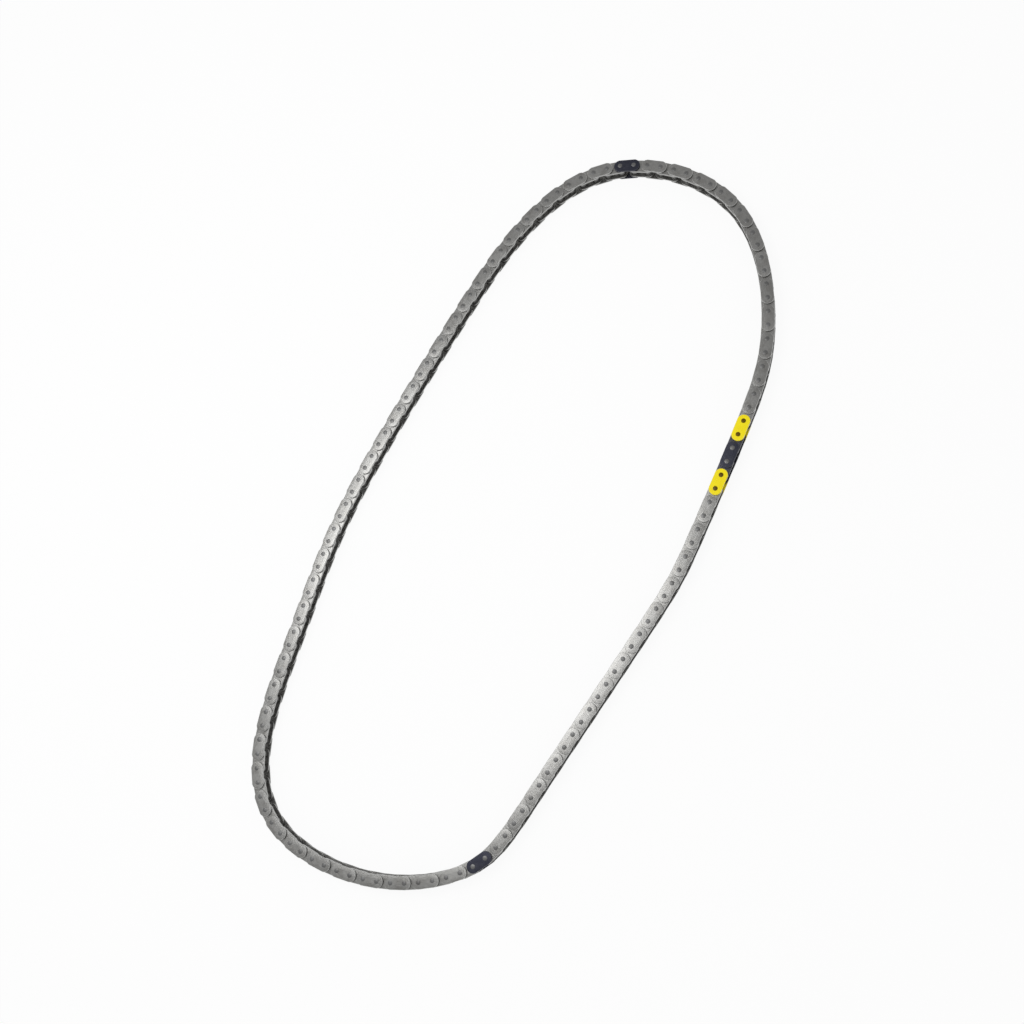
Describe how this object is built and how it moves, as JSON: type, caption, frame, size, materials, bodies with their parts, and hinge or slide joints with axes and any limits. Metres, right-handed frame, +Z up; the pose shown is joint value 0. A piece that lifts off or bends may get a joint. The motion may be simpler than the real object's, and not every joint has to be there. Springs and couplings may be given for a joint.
{
  "type": "balance shaft chain",
  "caption": "Endless simplex roller chain in steel for balance shafts, laid on its side as a loose loop, with yellow and dark timing mark links.",
  "frame": {"origin": "Middle of the loop's box, on the surface that the lower pin ends lie on.", "axes": "+Z is up along the pins, X is the long way of the loop, and the marked links lie on the -Y strand."},
  "size_m": [0.4474, 0.1996, 0.0098],
  "materials": {
    "steel": "satin rolled steel plate, slightly darker at the edges",
    "yellow": "yellow marking coat on steel plate",
    "dark": "blue-black oxide marking on steel plate",
    "brown_pin": "dark brown riveted pin ends",
    "pin": "ground steel pin with a riveted end",
    "bush": "oiled steel bush and roller"
  },
  "bodies": {
    "left_bend": {"link_run_pins_051_055": "steel", "link_run_pins_055_060": "steel", "link_run_pins_060_064": "steel", "link_run_pins_064_068": "steel"},
    "run_pins_047_051": {"link_run_pins_047_051": "steel"},
    "run_pins_043_047": {"link_run_pins_043_047": "steel"},
    "run_pins_039_043": {"link_run_pins_039_043": "steel"},
    "dark_link_2": {"dark_link_2_bottom_plate": "dark", "dark_link_2_top_plate": "dark", "dark_link_2_first_pin": "pin", "dark_link_2_second_pin": "pin", "link_run_pins_035_039": "steel"},
    "run_pins_027_034": {"link_run_pins_027_034": "steel"},
    "run_pins_020_027": {"link_run_pins_020_027": "steel"},
    "run_pins_015_020": {"link_run_pins_015_020": "steel"},
    "run_pins_010_015": {"link_run_pins_010_015": "steel"},
    "run_pins_005_010": {"link_run_pins_005_010": "steel"},
    "left_strand_1": {"link_run_pins_068_073": "steel", "link_run_pins_073_078": "steel"},
    "left_strand_2": {"link_run_pins_078_083": "steel", "link_run_pins_083_088": "steel"},
    "left_strand_3": {"link_run_pins_088_095": "steel"},
    "far_strand_end": {"link_run_pins_095_100": "steel", "link_run_pins_100_104": "steel"},
    "dark_link_3": {"dark_link_3_bottom_plate": "dark", "dark_link_3_top_plate": "dark", "dark_link_3_first_pin": "pin", "dark_link_3_second_pin": "pin", "link_run_pins_104_108": "steel"},
    "run_pins_109_113": {"link_run_pins_109_113": "steel"},
    "run_pins_113_117": {"link_run_pins_113_117": "steel"},
    "right_bend": {"link_run_pins_117_121": "steel", "link_run_pins_121_125": "steel", "link_run_pins_125_129": "steel", "link_run_pins_129_134": "steel"},
    "yellow_link_1": {"yellow_link_1_bottom_plate": "yellow", "yellow_link_1_top_plate": "yellow", "yellow_link_1_first_pin": "brown_pin", "yellow_link_1_second_pin": "brown_pin"},
    "inner_link_1": {"inner_link_1_bottom_plate": "steel", "inner_link_1_top_plate": "steel", "inner_link_1_first_bush": "bush", "inner_link_1_second_bush": "bush", "inner_link_1_first_roller": "bush", "inner_link_1_second_roller": "bush"},
    "dark_link_1": {"dark_link_1_bottom_plate": "dark", "dark_link_1_top_plate": "dark", "dark_link_1_first_pin": "pin", "dark_link_1_second_pin": "pin"},
    "inner_link_2": {"inner_link_2_bottom_plate": "steel", "inner_link_2_top_plate": "steel", "inner_link_2_first_bush": "bush", "inner_link_2_second_bush": "bush", "inner_link_2_first_roller": "bush", "inner_link_2_second_roller": "bush"},
    "yellow_link_2": {"yellow_link_2_bottom_plate": "yellow", "yellow_link_2_top_plate": "yellow", "yellow_link_2_first_pin": "brown_pin", "yellow_link_2_second_pin": "brown_pin"}
  },
  "joints": [
    {"name": "hinge_pin_068", "type": "hinge", "parent": "left_bend", "child": "left_strand_1", "pos_m": [-0.09469, 0.08972, 0.0049], "axis": [0, 0, 1], "range_deg": [-5, 5]},
    {"name": "hinge_pin_078", "type": "hinge", "parent": "left_strand_1", "child": "left_strand_2", "pos_m": [-0.01507, 0.0961, 0.0049], "axis": [0, 0, 1], "range_deg": [-10.4, 10.4]},
    {"name": "hinge_pin_088", "type": "hinge", "parent": "left_strand_2", "child": "left_strand_3", "pos_m": [0.06485, 0.0927, 0.0049], "axis": [0, 0, 1], "range_deg": [-7.2, 7.2]},
    {"name": "hinge_pin_095", "type": "hinge", "parent": "left_strand_3", "child": "far_strand_end", "pos_m": [0.12067, 0.08829, 0.0049], "axis": [0, 0, 1], "range_deg": [-8, 8]},
    {"name": "hinge_pin_104", "type": "hinge", "parent": "far_strand_end", "child": "dark_link_3", "pos_m": [0.18894, 0.06757, 0.0049], "axis": [0, 0, 1], "range_deg": [-10.2, 10.2]},
    {"name": "hinge_pin_109", "type": "hinge", "parent": "dark_link_3", "child": "run_pins_109_113", "pos_m": [0.21396, 0.03716, 0.0049], "axis": [0, 0, 1], "range_deg": [-5.5, 5.5]},
    {"name": "hinge_pin_113", "type": "hinge", "parent": "run_pins_109_113", "child": "run_pins_113_117", "pos_m": [0.22006, 0.00594, 0.0049], "axis": [0, 0, 1], "range_deg": [-5.7, 5.7]},
    {"name": "hinge_pin_117", "type": "hinge", "parent": "run_pins_113_117", "child": "right_bend", "pos_m": [0.21408, -0.02525, 0.0049], "axis": [0, 0, 1], "range_deg": [-10, 10]},
    {"name": "hinge_pin_000", "type": "hinge", "parent": "right_bend", "child": "yellow_link_1", "pos_m": [0.10123, -0.08973, 0.0049], "axis": [0, 0, 1], "range_deg": [-2.8, 2.8]},
    {"name": "hinge_pin_001", "type": "hinge", "parent": "yellow_link_1", "child": "inner_link_1", "pos_m": [0.09327, -0.09047, 0.0049], "axis": [0, 0, 1], "range_deg": [-1.9, 1.9]},
    {"name": "hinge_pin_002", "type": "hinge", "parent": "inner_link_1", "child": "dark_link_1", "pos_m": [0.0853, -0.09118, 0.0049], "axis": [0, 0, 1], "range_deg": [-1.9, 1.9]},
    {"name": "hinge_pin_003", "type": "hinge", "parent": "dark_link_1", "child": "inner_link_2", "pos_m": [0.07733, -0.09185, 0.0049], "axis": [0, 0, 1], "range_deg": [-1.9, 1.9]},
    {"name": "hinge_pin_004", "type": "hinge", "parent": "inner_link_2", "child": "yellow_link_2", "pos_m": [0.06935, -0.0925, 0.0049], "axis": [0, 0, 1], "range_deg": [-2, 2]},
    {"name": "hinge_pin_051", "type": "hinge", "parent": "left_bend", "child": "run_pins_047_051", "pos_m": [-0.21566, 0.04139, 0.0049], "axis": [0, 0, 1], "range_deg": [-7.4, 7.4]},
    {"name": "hinge_pin_047", "type": "hinge", "parent": "run_pins_047_051", "child": "run_pins_043_047", "pos_m": [-0.2199, 0.00994, 0.0049], "axis": [0, 0, 1], "range_deg": [-9.1, 9.1]},
    {"name": "hinge_pin_043", "type": "hinge", "parent": "run_pins_043_047", "child": "run_pins_039_043", "pos_m": [-0.21355, -0.02132, 0.0049], "axis": [0, 0, 1], "range_deg": [-5, 5]},
    {"name": "hinge_pin_039", "type": "hinge", "parent": "run_pins_039_043", "child": "dark_link_2", "pos_m": [-0.19891, -0.04966, 0.0049], "axis": [0, 0, 1], "range_deg": [-9.8, 9.8]},
    {"name": "hinge_pin_034", "type": "hinge", "parent": "dark_link_2", "child": "run_pins_027_034", "pos_m": [-0.16912, -0.07559, 0.0049], "axis": [0, 0, 1], "range_deg": [-1.8, 1.8]},
    {"name": "hinge_pin_027", "type": "hinge", "parent": "run_pins_027_034", "child": "run_pins_020_027", "pos_m": [-0.11391, -0.08396, 0.0049], "axis": [0, 0, 1], "range_deg": [-4.2, 4.2]},
    {"name": "hinge_pin_020", "type": "hinge", "parent": "run_pins_020_027", "child": "run_pins_015_020", "pos_m": [-0.05822, -0.08992, 0.0049], "axis": [0, 0, 1], "range_deg": [-8.6, 8.6]},
    {"name": "hinge_pin_015", "type": "hinge", "parent": "run_pins_015_020", "child": "run_pins_010_015", "pos_m": [-0.01844, -0.0941, 0.0049], "axis": [0, 0, 1], "range_deg": [-3.5, 3.5]},
    {"name": "hinge_pin_010", "type": "hinge", "parent": "run_pins_010_015", "child": "run_pins_005_010", "pos_m": [0.02147, -0.09587, 0.0049], "axis": [0, 0, 1], "range_deg": [-5.5, 5.5]}
  ],
  "couplings": [
    {"joint": "hinge_pin_068", "follows": "hinge_pin_095", "ratio": -0.6096},
    {"joint": "hinge_pin_078", "follows": "hinge_pin_095", "ratio": -1.284},
    {"joint": "hinge_pin_088", "follows": "hinge_pin_095", "ratio": 0.8935},
    {"joint": "hinge_pin_104", "follows": "hinge_pin_117", "ratio": -1.0139},
    {"joint": "hinge_pin_109", "follows": "hinge_pin_117", "ratio": -0.5431},
    {"joint": "hinge_pin_113", "follows": "hinge_pin_117", "ratio": 0.5569},
    {"joint": "hinge_pin_000", "follows": "hinge_pin_095", "ratio": -0.3426},
    {"joint": "hinge_pin_001", "follows": "hinge_pin_095", "ratio": -0.2222},
    {"joint": "hinge_pin_002", "follows": "hinge_pin_095", "ratio": -0.2238},
    {"joint": "hinge_pin_003", "follows": "hinge_pin_095", "ratio": -0.2284},
    {"joint": "hinge_pin_004", "follows": "hinge_pin_095", "ratio": -0.233},
    {"joint": "hinge_pin_051", "follows": "hinge_pin_117", "ratio": -0.7306},
    {"joint": "hinge_pin_047", "follows": "hinge_pin_117", "ratio": -0.9042},
    {"joint": "hinge_pin_043", "follows": "hinge_pin_117", "ratio": 0.4944},
    {"joint": "hinge_pin_039", "follows": "hinge_pin_117", "ratio": 0.975},
    {"joint": "hinge_pin_034", "follows": "hinge_pin_117", "ratio": 0.1653},
    {"joint": "hinge_pin_027", "follows": "hinge_pin_095", "ratio": -0.517},
    {"joint": "hinge_pin_020", "follows": "hinge_pin_095", "ratio": -1.0602},
    {"joint": "hinge_pin_015", "follows": "hinge_pin_095", "ratio": -0.4213},
    {"joint": "hinge_pin_010", "follows": "hinge_pin_095", "ratio": 0.6759}
  ]
}
